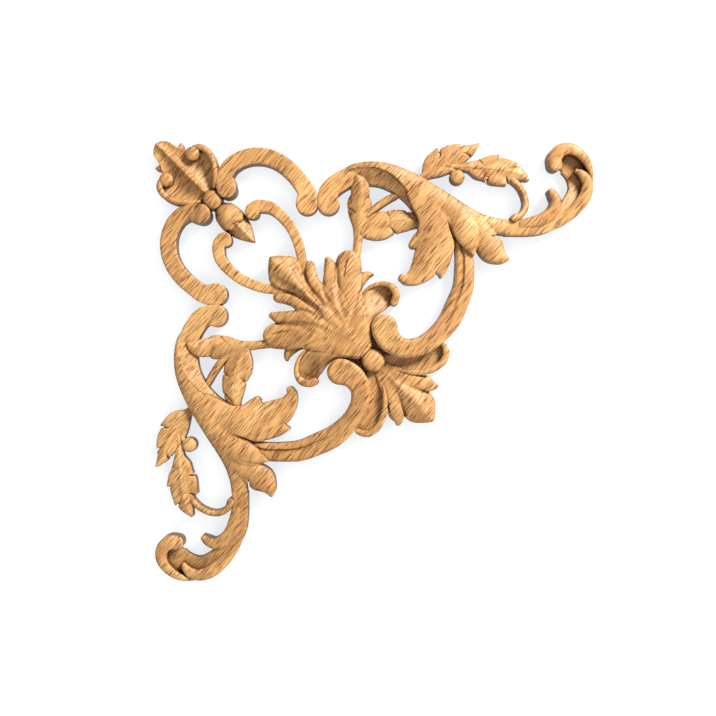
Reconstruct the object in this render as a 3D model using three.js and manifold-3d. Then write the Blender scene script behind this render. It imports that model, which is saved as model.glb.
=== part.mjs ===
// Corner onlay: scrolls, acanthus and small leaves, pierced and carved in one piece of oak.
// Its back is flat and lies in the plane y = 0. The relief rises towards -Y, the corner tip points
// up and to the left, and the origin lies behind the centre bead, on the axis of symmetry.
import * as THREE from 'three';
import { mergeVertices } from 'three/addons/utils/BufferGeometryUtils.js';
import Module from 'manifold-3d';

// Driving dimensions, in millimetres
const LEG = 220;
const RELIEF = 15;
const SHOULDER = 0.06 * RELIEF;
const PLANED_OFF = 2;
const BEAD_RADIUS = 5.9;
const SMALL_BEAD_RADIUS = 4.7;
const EYE_RADIUS = 3.6;
const BUD_RADIUS = 3.7;

// The carver's drawing is squared up with this many squares along each leg. A place on it is given in
// squares to the right of the corner tip and squares below it, so the axis runs where both are equal.
const SQUARE_COUNT = 442;
const GRID = LEG / SQUARE_COUNT;
const HUB_SHARE = 0.49774;
const HUB = HUB_SHARE * SQUARE_COUNT;

// A strip is divided where it runs on for this length, or turns by this angle
const LONG_STEP = 15;
const TURN_STEP = THREE.MathUtils.degToRad(28);
const CAP_ANGLES = [40, 76].map(THREE.MathUtils.degToRad);
const DOME_SIDES = 12;

// Cross-sections: the shares of the half-width where the surface is set out, whether its arrises are
// rounded over, and how far it drops below the crest, as a share of the half-width
const FLAT = { shares: [-1, 1], rounded: true, drop: () => 0 };
const CROWN = { shares: [-1, -0.55, 0.55, 1], rounded: false, drop: (s) => 0.3 * s * s };
const ROOF = { shares: [-1, 0, 1], rounded: false, drop: (s) => 0.4 * Math.abs(s) };
const STEEP = { shares: [-1, 0, 1], rounded: false, drop: (s) => 0.55 * Math.abs(s) };
const TROUGH = { shares: [-1, -0.5, 0, 0.5, 1], rounded: false, drop: (s) => 0.38 * (1 - s * s) };
const LEAN_RIGHT = { shares: [-1, 0, 1], rounded: true, drop: (s) => 0.16 * (1 + s) ** 2 };
const LEAN_LEFT = { shares: [-1, 0, 1], rounded: true, drop: (s) => 0.16 * (1 - s) ** 2 };
const FINIAL = {
  shares: [-1, -0.6, -0.25, 0, 0.25, 0.6, 1],
  rounded: false,
  drop: (s) => 0.36 * Math.sin(Math.PI * 0.8 * Math.abs(s) ** 0.85),
};

const wasm = await Module();
wasm.setup();

// Turns a closed geometry into a solid that can be joined
function toSolid(geometry) {
  geometry.deleteAttribute('normal');
  geometry.deleteAttribute('uv');
  const merged = mergeVertices(geometry, 1e-5);
  return new wasm.Manifold(new wasm.Mesh({
    numProp: 3,
    vertProperties: new Float32Array(merged.attributes.position.array),
    triVerts: new Uint32Array(merged.index.array),
  }));
}

// A place on the drawing, at a height in millimetres over the back
function place(right, below, height) {
  return new THREE.Vector3((right - HUB) * GRID, -height, (HUB - below) * GRID);
}

// How far a rounded arris has dropped at a distance from the edge
function shoulderDrop(distance) {
  const inset = THREE.MathUtils.clamp(SHOULDER - distance, 0, SHOULDER);
  return SHOULDER - Math.sqrt(SHOULDER * SHOULDER - inset * inset);
}

// The stations along a strip: centre, direction, half-width and height, with rounded ends
function stationsAlong(nodes, ends) {
  const line = new THREE.CatmullRomCurve3(
    nodes.map(([right, below]) => new THREE.Vector3(right, below, 0)), false, 'catmullrom', 0.5);
  const size = new THREE.CatmullRomCurve3(
    nodes.map(([, , half, rise]) => new THREE.Vector3(half, rise, 0)), false, 'catmullrom', 0.5);
  const stations = [];
  const spans = nodes.length - 1;
  const at = (u, lean = 0, side = 1) => {
    const { x: half, y: rise } = size.getPoint(u);
    const heading = line.getTangent(u);
    const centre = line.getPoint(u).addScaledVector(heading, side * half * Math.sin(lean));
    return { centre, heading, half, rise, lean };
  };
  if (ends[0] === 'round') {
    CAP_ANGLES.toReversed().forEach((lean) => stations.push(at(0, lean, -1)));
  }
  for (let span = 0; span < spans; span += 1) {
    const from = span / spans;
    const to = (span + 1) / spans;
    const turn = line.getTangent(from).angleTo(line.getTangent(to));
    const length = line.getPoint(from).distanceTo(line.getPoint(to));
    const steps = Math.max(1, Math.round(turn / TURN_STEP), Math.round(length * GRID / LONG_STEP));
    for (let step = 0; step < steps; step += 1) {
      stations.push(at(from + (to - from) * (step / steps)));
    }
  }
  stations.push(at(1));
  if (ends[1] === 'round') {
    CAP_ANGLES.forEach((lean) => stations.push(at(1, lean, 1)));
  }
  return stations;
}

// A strip of carving that follows a line of nodes: squares right, squares below, half-width in
// squares and crest height as a share of the relief. It stands on the back plane.
function strip(nodes, cut = FLAT, ends = ['blunt', 'blunt'], mirrored = false) {
  const rows = stationsAlong(nodes, ends).map(({ centre, heading, half, rise, lean }) => {
    const inner = Math.max(0.4, 1 - SHOULDER / (half * GRID));
    const shares = cut.rounded ? [-1, ...cut.shares.map((share) => inner * share), 1] : cut.shares;
    return shares.map((share) => {
      const reach = share * half * Math.cos(lean);
      const right = centre.x - heading.y * reach;
      const below = centre.y + heading.x * reach;
      const inset = (1 - Math.hypot(Math.sin(lean), share * Math.cos(lean))) * half * GRID;
      const height = rise * RELIEF - cut.drop(share * Math.cos(lean)) * half * GRID
        - (cut.rounded ? shoulderDrop(inset) : 0);
      return mirrored ? [below, right, height] : [right, below, height];
    });
  });
  const wide = rows[0].length;
  const front = rows.flat().map(([right, below, height]) => place(right, below, height));
  const back = rows.flat().map(([right, below]) => place(right, below, -PLANED_OFF));
  const faces = [];
  const quad = (a, b, c, d) => faces.push(...(mirrored ? [a, b, c, a, c, d] : [a, c, b, a, d, c]));
  for (let i = 0; i < rows.length - 1; i += 1) {
    for (let j = 0; j < wide - 1; j += 1) {
      const a = i * wide + j;
      quad(a, a + wide, a + wide + 1, a + 1);
      quad(front.length + a, front.length + a + 1, front.length + a + wide + 1, front.length + a + wide);
    }
    const near = i * wide;
    quad(near, front.length + near, front.length + near + wide, near + wide);
    const far = near + wide - 1;
    quad(far, far + wide, front.length + far + wide, front.length + far);
  }
  for (let j = 0; j < wide - 1; j += 1) {
    quad(j, j + 1, front.length + j + 1, front.length + j);
    const last = (rows.length - 1) * wide + j;
    quad(last, front.length + last, front.length + last + 1, last + 1);
  }
  const geometry = new THREE.BufferGeometry().setFromPoints([...front, ...back]);
  geometry.setIndex(faces);
  return toSolid(geometry);
}

// A turned bead with a domed top, on the back plane
function bead(right, below, radius, rise) {
  const top = rise * RELIEF;
  const spring = top - 0.45 * radius;
  const outline = [new THREE.Vector2(0, -PLANED_OFF), new THREE.Vector2(radius, -PLANED_OFF)];
  for (const angle of [0, 30, 60, 90].map(THREE.MathUtils.degToRad)) {
    outline.push(new THREE.Vector2(radius * Math.cos(angle), spring + (top - spring) * Math.sin(angle)));
  }
  outline.at(-1).x = 0;
  const geometry = new THREE.LatheGeometry(outline, DOME_SIDES);
  geometry.rotateX(Math.PI);
  const { x, z } = place(right, below, 0);
  geometry.translate(x, 0, z);
  return toSolid(geometry);
}

const ROUND = ['round', 'round'];
const TO_ROUND = ['blunt', 'round'];
const FROM_ROUND = ['round', 'blunt'];

// Strips on the axis of symmetry, given by their distance along it
const onAxis = (nodes) => nodes.map(([along, half, rise]) => [along, along, half, rise]);

function finialOnAxis() {
  return [
    strip(onAxis([[12, 11.5, 0.56], [18, 13.5, 0.58], [25, 20, 0.6], [33, 26, 0.6], [41, 26, 0.58],
      [48, 19, 0.52], [56, 11, 0.44]]), FINIAL, FROM_ROUND),
    bead(60, 60, SMALL_BEAD_RADIUS, 0.66),
    strip(onAxis([[65, 6, 0.56], [71, 11.5, 0.62], [77, 13.8, 0.64], [83.5, 13.2, 0.58]]), CROWN),
    strip(onAxis([[78, 12, 0.5], [86, 11.8, 0.52], [92, 8.4, 0.48], [97, 4, 0.42], [100.5, 0.8, 0.38]]),
      STEEP),
  ];
}

function finialSide(side) {
  return [
    side([[22, 18, 5.5, 0.44], [25.3, 9, 4.6, 0.46], [27.3, 2.6, 1.2, 0.42]], ROOF),
    side([[40, 8, 3.2, 0.62], [47.5, 6.6, 3.1, 0.64], [55, 11.5, 3.2, 0.66], [60, 20.5, 3.1, 0.66],
      [62, 32, 2.9, 0.64], [61.5, 48, 2.4, 0.5]], CROWN),
    side([[83, 76, 5.5, 0.58], [88.5, 80, 4.6, 0.54]], CROWN, TO_ROUND),
  ];
}

function heartBand(side) {
  return [
    side([[98.2, 70.2, 6.8, 0.52], [98.8, 72.4, 6.8, 0.56]], FLAT, ROUND),
    side([[99.5, 70.6, 5.2, 0.52], [103.5, 66.4, 5.8, 0.52], [110.5, 65.2, 6, 0.52],
      [118.5, 67.2, 5.8, 0.52], [127.5, 74, 5.5, 0.52], [136.4, 84.5, 5.3, 0.52],
      [142.8, 97, 5.1, 0.52], [146.8, 110, 4.8, 0.5], [149.5, 129, 4, 0.46]]),
  ];
}

function upperScroll(side) {
  return [
    side([[74, 48.4, 9.7, 0.76], [72.8, 43, 9.4, 0.66], [71.4, 36, 8.4, 0.58], [75.5, 27.3, 8, 0.54],
      [83, 20.6, 8, 0.53], [92.5, 16.4, 8, 0.53], [103, 14.8, 8.1, 0.53], [115, 16.2, 8.1, 0.53],
      [127, 21.4, 8.2, 0.53], [137.5, 29.6, 8.3, 0.54], [146.5, 40, 8.4, 0.55],
      [153.4, 51, 9.4, 0.56], [153.8, 62.8, 11.2, 0.57]], FLAT, ROUND),
  ];
}

function mainScroll(side) {
  return [
    side([[175.2, 62.6, 11.3, 0.58], [174.8, 57, 10.3, 0.58], [176.6, 50, 9.8, 0.57],
      [183, 43.6, 9.7, 0.56], [192.6, 38, 9.6, 0.55], [204, 34.4, 8.6, 0.53]], FLAT, FROM_ROUND),
    side([[184, 35.4, 1.4, 0.5], [199, 25, 2.6, 0.62], [213, 23.6, 2.9, 0.69], [226, 25, 3.6, 0.72],
      [238.6, 29.2, 5.2, 0.73], [250.6, 35.8, 7.8, 0.73], [262.4, 44.8, 11.4, 0.72], [276, 57, 15, 0.71],
      [292, 67, 14, 0.7], [308, 74.4, 11, 0.67], [324, 80.8, 9, 0.62], [340, 85, 7.9, 0.57],
      [356, 86.6, 7.8, 0.54]], LEAN_LEFT),
    side([[196, 36.8, 8.6, 0.53], [213, 34, 9.4, 0.53], [228, 34.6, 9.8, 0.55], [242, 39.4, 10.2, 0.56],
      [253.6, 48, 9.6, 0.56], [262.4, 59.6, 7.6, 0.55], [267.4, 72, 5, 0.54], [269, 84, 3.8, 0.54]],
    LEAN_RIGHT),
  ];
}

function firstLeaf(side) {
  return [
    side([[277, 64, 12, 0.68], [281, 78, 15, 0.68], [282, 94, 18, 0.67], [279, 110, 19, 0.62],
      [272.5, 124.5, 14.6, 0.55], [263.6, 134.6, 9.8, 0.5], [254.5, 138.6, 5.6, 0.5],
      [249.4, 136.4, 3.4, 0.54]], CROWN, TO_ROUND),
    side([[276, 92, 9, 0.6], [266, 98.5, 6.8, 0.58], [260.4, 103.2, 4.4, 0.54]], CROWN, TO_ROUND),
    side([[286, 98, 14.4, 0.62], [287.4, 113, 12.8, 0.58], [288.6, 125.5, 7.8, 0.52],
      [288.4, 137, 0.9, 0.46]], ROOF),
  ];
}

function secondLeaf(side) {
  return [
    side([[306, 78, 11, 0.7], [310.6, 86.4, 13.4, 0.74], [315.6, 99, 10.6, 0.7],
      [318.8, 108.4, 5.6, 0.64], [320.4, 115.4, 0.8, 0.58]], CROWN),
    side([[325, 84, 9.5, 0.65], [330, 94, 10.8, 0.65], [339.6, 108.6, 13, 0.6],
      [348.6, 116, 7.6, 0.52], [357, 118.4, 0.9, 0.46]], CROWN),
    side([[326, 84, 8, 0.6], [333, 91, 5.4, 0.6], [337.4, 96.6, 1.2, 0.54]], CROWN),
  ];
}

function rib(side) {
  return [
    side([[232.4, 187.5, 11, 0.92], [232, 186, 11, 0.9]], FLAT, ROUND),
    side([[232.6, 189, 10.4, 0.92], [236.6, 199, 9.8, 0.92], [246.5, 206.3, 9.5, 0.9],
      [258, 207.6, 9.1, 0.84], [270.5, 204, 9, 0.76], [283.5, 195, 9, 0.68], [297, 180.4, 9.2, 0.6],
      [307.5, 163.5, 8.6, 0.56], [314, 147, 7, 0.54], [316.6, 130, 5.9, 0.52],
      [315.4, 113, 5.6, 0.48], [310, 97, 5, 0.44]]),
    side([[294, 171.5, 1.4, 0.5], [300, 160.5, 2.8, 0.52], [305.2, 147, 3.7, 0.53],
      [307.4, 130, 4, 0.5], [306.8, 112, 3.8, 0.46], [303.5, 98, 3.4, 0.42]], CROWN),
  ];
}

function endCurl(side) {
  return [
    side([[352, 86.8, 7.8, 0.53], [376, 86.6, 8.4, 0.53], [390, 84, 9, 0.53], [403, 78.6, 9.4, 0.53],
      [414.2, 69.6, 10.2, 0.51], [422.6, 58.4, 11.6, 0.46], [427.6, 46, 12.2, 0.38],
      [427.4, 34, 12.4, 0.3], [420.4, 23.4, 12, 0.26], [411.6, 19.4, 9, 0.26]], FLAT),
    side([[439.8, 44, 1, 0.5], [439.4, 35, 1.9, 0.58], [436.2, 24.6, 3.6, 0.68], [429.2, 14.8, 4.8, 0.72],
      [420.6, 9.4, 5.8, 0.74], [411.4, 8.6, 6.5, 0.74], [403.4, 13.2, 7, 0.73], [400.2, 20.4, 6.2, 0.7],
      [401.6, 25.2, 6, 0.66]], CROWN, TO_ROUND),
    side([[410, 76, 7.4, 0.5], [421.6, 67.6, 8.8, 0.55], [430, 57, 8.6, 0.58], [434, 46.4, 6.6, 0.6],
      [432.8, 37.6, 6, 0.6], [428, 32.4, 4.2, 0.57], [423.4, 30.6, 2.2, 0.54]], CROWN, TO_ROUND),
    side([[368, 85, 5.6, 0.55], [382, 82.6, 7.4, 0.6], [394, 77.4, 7.8, 0.63], [401.6, 69, 6.8, 0.63],
      [403.8, 59.5, 5.4, 0.6], [399.8, 52.6, 4.4, 0.57]], CROWN, TO_ROUND),
  ];
}

function acanthusOnAxis() {
  return [
    strip(onAxis([[117, 1.6, 0.56], [121.5, 8.6, 0.68], [127.5, 16, 0.76], [133.5, 16.6, 0.74],
      [141, 13.6, 0.68], [151, 9.6, 0.72], [168, 8, 0.82], [188, 8, 0.9], [207, 7, 0.84]]), ROOF),
    bead(HUB, HUB, BEAD_RADIUS, 0.76),
    strip([[222, 222, 24, 0.36], [223, 223, 24, 0.36]], FLAT, ROUND),
  ];
}

function acanthusSide(side) {
  return [
    side([[207, 204, 6, 0.86], [193, 184, 6.4, 0.86], [178, 164, 6.4, 0.72], [166.6, 150, 6.6, 0.6],
      [159.4, 138, 6.2, 0.54], [156.9, 127, 5.2, 0.52]], ROOF, TO_ROUND),
    side([[208, 202, 6, 0.86], [198, 182, 6.6, 0.84], [186.5, 162, 6.6, 0.7], [179, 146, 6.4, 0.56],
      [176, 131, 5.8, 0.5], [174.6, 118, 1.8, 0.46]], ROOF),
    side([[210, 203, 6, 0.86], [206, 184, 8, 0.86], [200, 164, 10, 0.76], [196.8, 148, 11.6, 0.66],
      [195.8, 134, 12.4, 0.6], [195.8, 122, 12, 0.56]], ROOF, TO_ROUND),
    side([[206, 184, 6, 0.7], [201.6, 168, 6, 0.62], [200.6, 155, 5.6, 0.54], [203.6, 145, 5.2, 0.5],
      [209, 137.4, 5.4, 0.48], [215, 133.8, 4.2, 0.46], [221, 133.2, 1, 0.42]], ROOF),
    side([[211.5, 207, 5.5, 0.84], [209, 194, 8, 0.84], [208.6, 180, 10, 0.74], [214, 167, 11.4, 0.6],
      [223.6, 157, 12.4, 0.5], [234.6, 152.6, 11, 0.46]], TROUGH, TO_ROUND),
    side([[210, 153, 1.6, 0.5], [216.6, 146.6, 2, 0.56], [226, 143, 2.4, 0.62], [235, 143.8, 3.2, 0.66],
      [241.4, 149, 4, 0.68], [243, 156, 4.4, 0.66], [241, 161.6, 4.4, 0.62]], CROWN, TO_ROUND),
  ];
}

function palmetteOnAxis() {
  return [
    strip(onAxis([[226, 6, 0.44], [240, 9, 0.52], [252, 13, 0.58], [262, 16.4, 0.6], [270, 15.6, 0.58],
      [276, 7.6, 0.54], [280.6, 1.2, 0.5]]), ROOF),
  ];
}

function palmetteSide(side) {
  return [
    side([[230, 224, 4, 0.44], [246, 234, 7, 0.5], [262, 241, 8.6, 0.5], [275, 245, 6.4, 0.46],
      [285.2, 245.4, 1.4, 0.42]], ROOF),
    side([[230, 219, 6, 0.42], [245, 222, 9, 0.46], [261, 222.6, 11.4, 0.48], [275, 219.4, 13.4, 0.48],
      [284.6, 214, 11.6, 0.46]], TROUGH, TO_ROUND),
    side([[246, 228, 2.2, 0.46], [259, 229.4, 3.6, 0.5], [273, 228.4, 5, 0.54], [284.6, 222.4, 5, 0.56],
      [291, 213.4, 4.4, 0.56], [290.8, 205.6, 3.8, 0.54]], CROWN, TO_ROUND),
  ];
}

function innerSprig(side) {
  return [
    side([[203, 116, 4.2, 0.46], [204.8, 101, 4.2, 0.42], [206, 86, 6, 0.44], [206.4, 73, 10.8, 0.48],
      [206.6, 62.4, 12.2, 0.5]], ROOF, TO_ROUND),
    side([[206.4, 72, 8, 0.48], [207, 58, 8.8, 0.54], [207.4, 47.6, 8.8, 0.6], [206, 40.4, 6.4, 0.62],
      [203.6, 35.4, 1.8, 0.6]], ROOF),
    side([[208, 92, 4, 0.44], [222, 83, 9.6, 0.46], [237, 78.6, 10.6, 0.46], [252, 79.4, 9, 0.44],
      [268, 84, 4.4, 0.44]], ROOF),
    side([[209, 94, 4, 0.42], [222, 90.4, 8.2, 0.44], [233.6, 90.4, 7, 0.42], [239.8, 91, 1.6, 0.38]],
      ROOF),
    side([[213.6, 75.6, 1.6, 0.42], [221.4, 67.4, 3.3, 0.44], [233, 59.4, 3.4, 0.44],
      [247, 51.6, 3.2, 0.44]]),
  ];
}

function topSprig(side) {
  return [
    side([[266, 41, 3.4, 0.5], [272.4, 35, 3.8, 0.46], [282, 27, 7.6, 0.48], [294, 18.6, 11, 0.52],
      [306, 12.6, 9.6, 0.52], [317, 8.4, 5.4, 0.48], [326, 2.4, 0.9, 0.42]], ROOF),
    side([[273, 34, 3.6, 0.44], [278.4, 23, 6.6, 0.48], [283, 14, 5, 0.46], [285.4, 7.8, 1.2, 0.42]],
      ROOF),
    side([[290, 21, 8, 0.48], [298, 11.6, 8.4, 0.5], [308.4, 4, 1, 0.44]], ROOF),
    side([[280, 30, 4.6, 0.44], [289, 28.4, 5, 0.46], [297, 26.4, 3, 0.44]], ROOF, TO_ROUND),
    side([[297.6, 25.6, 2.4, 0.42], [303.6, 32, 3, 0.42]]),
    side([[297, 24.8, 2.2, 0.42], [306, 25.4, 2.8, 0.42], [317, 24.6, 4.2, 0.44], [329, 25.6, 9, 0.48],
      [343, 26.8, 12.4, 0.52], [356, 29, 10.8, 0.5], [367, 32.6, 7.2, 0.46], [376.4, 38.4, 1, 0.42]],
    ROOF),
    side([[333, 30, 8, 0.48], [343.6, 35.6, 7.2, 0.48], [353.6, 43, 1.6, 0.42]], ROOF),
    side([[321, 27, 4, 0.44], [327, 32, 5, 0.46], [331.4, 37, 2, 0.42]], ROOF),
    side([[334, 25, 8, 0.48], [340.6, 19.6, 6.8, 0.48], [346, 14.8, 1.4, 0.44]], ROOF),
    side([[360, 37, 3, 0.44], [368.6, 46.4, 2.9, 0.44], [373.4, 58, 2.9, 0.46], [372.4, 69, 2.9, 0.5],
      [365.8, 76.4, 3, 0.56], [359.4, 78.6, 3.8, 0.6]], CROWN, TO_ROUND),
  ];
}

// Everything beside the axis is carved twice, the second time mirrored across it
function onBothSides(section) {
  const half = section((nodes, cut, ends) => strip(nodes, cut, ends, false));
  const other = section((nodes, cut, ends) => strip(nodes, cut, ends, true));
  return [...half, ...other];
}

function carving() {
  const beads = [[39.6, 13, EYE_RADIUS, 0.64], [305, 35.8, BUD_RADIUS, 0.48]].flatMap(
    ([right, below, radius, rise]) => [bead(right, below, radius, rise), bead(below, right, radius, rise)]);
  const sections = [finialSide, heartBand, upperScroll, mainScroll, firstLeaf, secondLeaf, rib, endCurl,
    acanthusSide, palmetteSide, innerSprig, topSprig];
  const pieces = [...finialOnAxis(), ...acanthusOnAxis(), ...palmetteOnAxis(), ...beads,
    ...sections.flatMap(onBothSides)];
  return pieces.reduce((whole, piece) => whole.add(piece));
}

// The stock behind the back plane, which is planed off once everything is joined
function stockBehind() {
  const geometry = new THREE.BoxGeometry(2 * LEG, 2 * PLANED_OFF, 2 * LEG);
  geometry.translate(0, PLANED_OFF, 0);
  return toSolid(geometry);
}

const joined = carving().subtract(stockBehind()).getMesh();
const geometry = new THREE.BufferGeometry();
geometry.setAttribute('position', new THREE.BufferAttribute(new Float32Array(joined.vertProperties), 3));
geometry.setIndex(new THREE.BufferAttribute(new Uint32Array(joined.triVerts), 1));
geometry.computeVertexNormals();

const oak = new THREE.MeshStandardMaterial({ color: 0xd7a05f, roughness: 0.55, metalness: 0 });
const onlay = new THREE.Mesh(geometry, oak);
onlay.name = 'onlay';

const part = new THREE.Group();
part.add(onlay);

export default part;
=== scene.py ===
# Corner onlay: the fine carving, its oak, and the studio around it.
import math

import bpy
import numpy as np
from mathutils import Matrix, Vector


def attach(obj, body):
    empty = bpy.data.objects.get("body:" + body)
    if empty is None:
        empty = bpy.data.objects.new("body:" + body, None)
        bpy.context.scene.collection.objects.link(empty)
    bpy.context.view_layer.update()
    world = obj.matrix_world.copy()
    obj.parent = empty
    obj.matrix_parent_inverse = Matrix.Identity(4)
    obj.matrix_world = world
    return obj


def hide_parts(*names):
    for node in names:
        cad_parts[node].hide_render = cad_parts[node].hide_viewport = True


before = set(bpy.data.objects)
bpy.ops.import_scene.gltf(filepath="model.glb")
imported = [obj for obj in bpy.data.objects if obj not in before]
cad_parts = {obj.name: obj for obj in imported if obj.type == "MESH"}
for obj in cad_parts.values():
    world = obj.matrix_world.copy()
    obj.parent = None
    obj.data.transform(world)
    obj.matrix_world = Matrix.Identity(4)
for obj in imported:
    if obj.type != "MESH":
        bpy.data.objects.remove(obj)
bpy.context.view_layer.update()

# Driving dimensions, in metres
LEG = 0.220
RELIEF = 0.015
BEAD_RADIUS = 0.0059
SMALL_BEAD_RADIUS = 0.0047
EYE_RADIUS = 0.0036
BUD_RADIUS = 0.0037
ARRIS_WIDTH = 0.0008
ARRIS_DROP = 0.00045
PLANED_OFF = 0.002
MESH_STEP = 0.0005

# The carver's drawing is squared up with this many squares along each leg. A place on it is given in
# squares to the right of the corner tip and squares below it, so the axis runs where both are equal.
# The bead sits on the axis at HUB, which is the origin.
SQUARES = 442
GRID = LEG / SQUARES
HUB = 220
MARGIN = 10
STEP = MESH_STEP / GRID
LINES = np.arange(-MARGIN, SQUARES + MARGIN, STEP)
NOWHERE = -1.0e3

# Squares between the points that a curve is drawn with, the fall of a strip's surface outside its edge,
# the least share of a square from an edge point to a corner, and the angle that stays a sharp crease
CHORD = 1.6
FALL = 4
CORNER_SHARE = 0.08
CREASE_ANGLE = math.radians(38)
MILLIMETRE = 0.001

# Cross-sections: how far the surface drops below the crest at each share of the half-width, as a
# share of the half-width
def FLAT(s):
    return 0.02 * s * s


def CROWN(s):
    return 0.3 * s * s


def GENTLE(s):
    return 0.16 * s * s


def ROUNDED(s):
    return 0.75 * (1 - np.sqrt(np.clip(1 - 0.9 * s * s, 0, 1)))


def ROOF(s):
    return 0.4 * np.sqrt(s * s + 0.012) - 0.04


def STEEP(s):
    return 0.55 * np.abs(s)


def TROUGH(s):
    return 0.38 * (1 - s * s)


def LEAN_RIGHT(s):
    return 0.45 * (1 + s)


def LEAN_LEFT(s):
    return 0.16 * (1 - s) ** 2


def FINIAL(s):
    return 0.29 * np.sin(math.pi * 0.8 * np.abs(s) ** 0.85)


BLUNT = ("blunt", "blunt")
ROUND = ("round", "round")
TO_ROUND = ("blunt", "round")
FROM_ROUND = ("round", "blunt")


def place(right, below, height):
    """A place on the drawing, at a height over the back, in metres."""
    return np.stack([(right - HUB) * GRID, -height, (HUB - below) * GRID], axis=-1)


def along(nodes, u):
    """The Catmull-Rom curve through the nodes at u, counted in nodes."""
    padded = np.vstack([2 * nodes[0] - nodes[1], nodes, 2 * nodes[-1] - nodes[-2]])
    span = np.minimum(u.astype(int), len(nodes) - 2)
    t = (u - span)[:, None]
    before, start, end, after = (padded[span + k] for k in range(4))
    leave, arrive = (end - before) / 2, (after - start) / 2
    a = 2 * start - 2 * end + leave + arrive
    b = -3 * start + 3 * end - 2 * leave - arrive
    return ((a * t + b) * t + leave) * t + start


def sweep(nodes, ends):
    """Where the drawing lies against a line of nodes.

    A node is squares right, squares below, half-width in squares and one or two values. For every
    crossing of the fine grid this gives the depth inside the strip (negative outside), the share of
    the half-width across it, the half-width and the values, all from the nearest point of the line.
    """
    nodes = np.array(nodes, dtype=float)
    stops = [0.0]
    for k in range(len(nodes) - 1):
        steps = max(2, math.ceil(np.linalg.norm(nodes[k + 1][:2] - nodes[k][:2]) / CHORD))
        stops += [k + (n + 1) / steps for n in range(steps)]
    line = along(nodes, np.array(stops))
    size = len(LINES)
    nearest = np.full((size, size), np.inf)
    depth = np.full((size, size), NOWHERE)
    across = np.zeros((size, size))
    half = np.ones((size, size))
    values = np.zeros((size, size, nodes.shape[1] - 3))
    reach = nodes[:, 2].max() + 4 * STEP + 2
    last = len(line) - 2
    for k in range(last + 1):
        start, end = line[k], line[k + 1]
        low = np.minimum(start[:2], end[:2]) - reach
        high = np.maximum(start[:2], end[:2]) + reach
        i0, i1 = np.searchsorted(LINES, [low[1], high[1]])
        j0, j1 = np.searchsorted(LINES, [low[0], high[0]])
        window = (slice(i0, i1), slice(j0, j1))
        right = LINES[None, j0:j1] - start[0]
        below = LINES[i0:i1, None] - start[1]
        run = end[:2] - start[:2]
        length = np.hypot(*run)
        run = run / length
        ahead = right * run[0] + below * run[1]
        aside = below * run[0] - right * run[1]
        t = np.clip(ahead / length, 0, 1)
        distance = np.hypot(ahead - t * length, aside)
        width = start[2] + (end[2] - start[2]) * t
        inside = width - distance
        lateral = np.where((ahead < 0) | (ahead > length), np.sign(aside) * distance, aside)
        for blunt, beyond in ((ends[0] == "blunt" and k == 0, -ahead),
                              (ends[1] == "blunt" and k == last, ahead - length)):
            if blunt:
                past = beyond > 0
                inside = np.where(past, np.minimum(width - np.abs(aside), -beyond), inside)
        if (k == 0 and ends[0] == "round") or (k == last and ends[1] == "round"):
            lateral = aside
        closer = distance < nearest[window]
        nearest[window] = np.where(closer, distance, nearest[window])
        depth[window] = np.where(closer, inside, depth[window])
        across[window] = np.where(closer, lateral / width, across[window])
        half[window] = np.where(closer, width, half[window])
        reached = start[3:] + (end[3:] - start[3:]) * t[:, :, None]
        values[window] = np.where(closer[:, :, None], reached, values[window])
    return depth, np.clip(across, -1, 1), half, values


def strip(nodes, cut=FLAT, ends=BLUNT, hollow=TROUGH):
    """A strip of carving: how deep each place lies inside it, in squares, and its height, in metres.

    A node's values are its crest height as a share of the relief and, where the strip turns hollow,
    how far the hollow section has taken over from the first one.
    """
    depth, across, half, values = sweep(nodes, ends)
    drop = cut(across)
    if values.shape[2] > 1:
        drop = drop + (hollow(across) - drop) * values[:, :, 1]
    height = np.where(depth > NOWHERE, values[:, :, 0] * RELIEF - drop * half * GRID, NOWHERE)
    return depth, height


def mirrored(strips):
    """The same strips on the other side of the axis."""
    return [(depth.T, height.T) for depth, height in strips]


def on_axis(nodes):
    """Nodes on the axis of symmetry, given by their distance along it."""
    return [[step, step, half, rise] for step, half, rise in nodes]


def groove(nodes, ends=ROUND):
    """A cut along a line of nodes, whose value is its depth in millimetres."""
    depth, across, half, values = sweep(nodes, ends)
    bottom = np.where(depth > 0, (1 - across * across) ** 2, 0)
    return values[:, :, 0] * MILLIMETRE * bottom * np.clip(depth / half * 2, 0, 1)


def notch(nodes):
    """How deep each place lies inside a wedge that is cut out of a leaf's edge, in squares."""
    return sweep(nodes, BLUNT)[0]


def carve(strips, grooves=(), notches=(), blend=0.0003, arris=(ARRIS_WIDTH, ARRIS_DROP)):
    """One carved form from overlapping strips, run into each other, as vertices and faces."""
    outline = np.full((len(LINES), len(LINES)), NOWHERE)
    edge = np.full_like(outline, NOWHERE)
    highest = np.full_like(outline, NOWHERE)
    for depth, height in strips:
        edge = np.where(depth > outline, height, edge)
        outline = np.maximum(outline, depth)
        highest = np.maximum(highest, height + FALL * np.minimum(depth, 0) * GRID)
    total = np.zeros_like(outline)
    weights = np.full_like(outline, 1e-12)
    for depth, height in strips:
        falling = height + FALL * np.minimum(depth, 0) * GRID
        weight = np.exp((falling - highest) / blend)
        total += weight * falling
        weights += weight
    surface = np.where(outline > 0, total / weights, edge)
    for wedge in notches:
        outline = np.minimum(outline, -wedge)
    for cut in grooves:
        surface = surface - cut
    inset = np.clip(1 - outline * GRID / arris[0], 0, 1)
    return solid(outline, surface - arris[1] * inset * inset)


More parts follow.
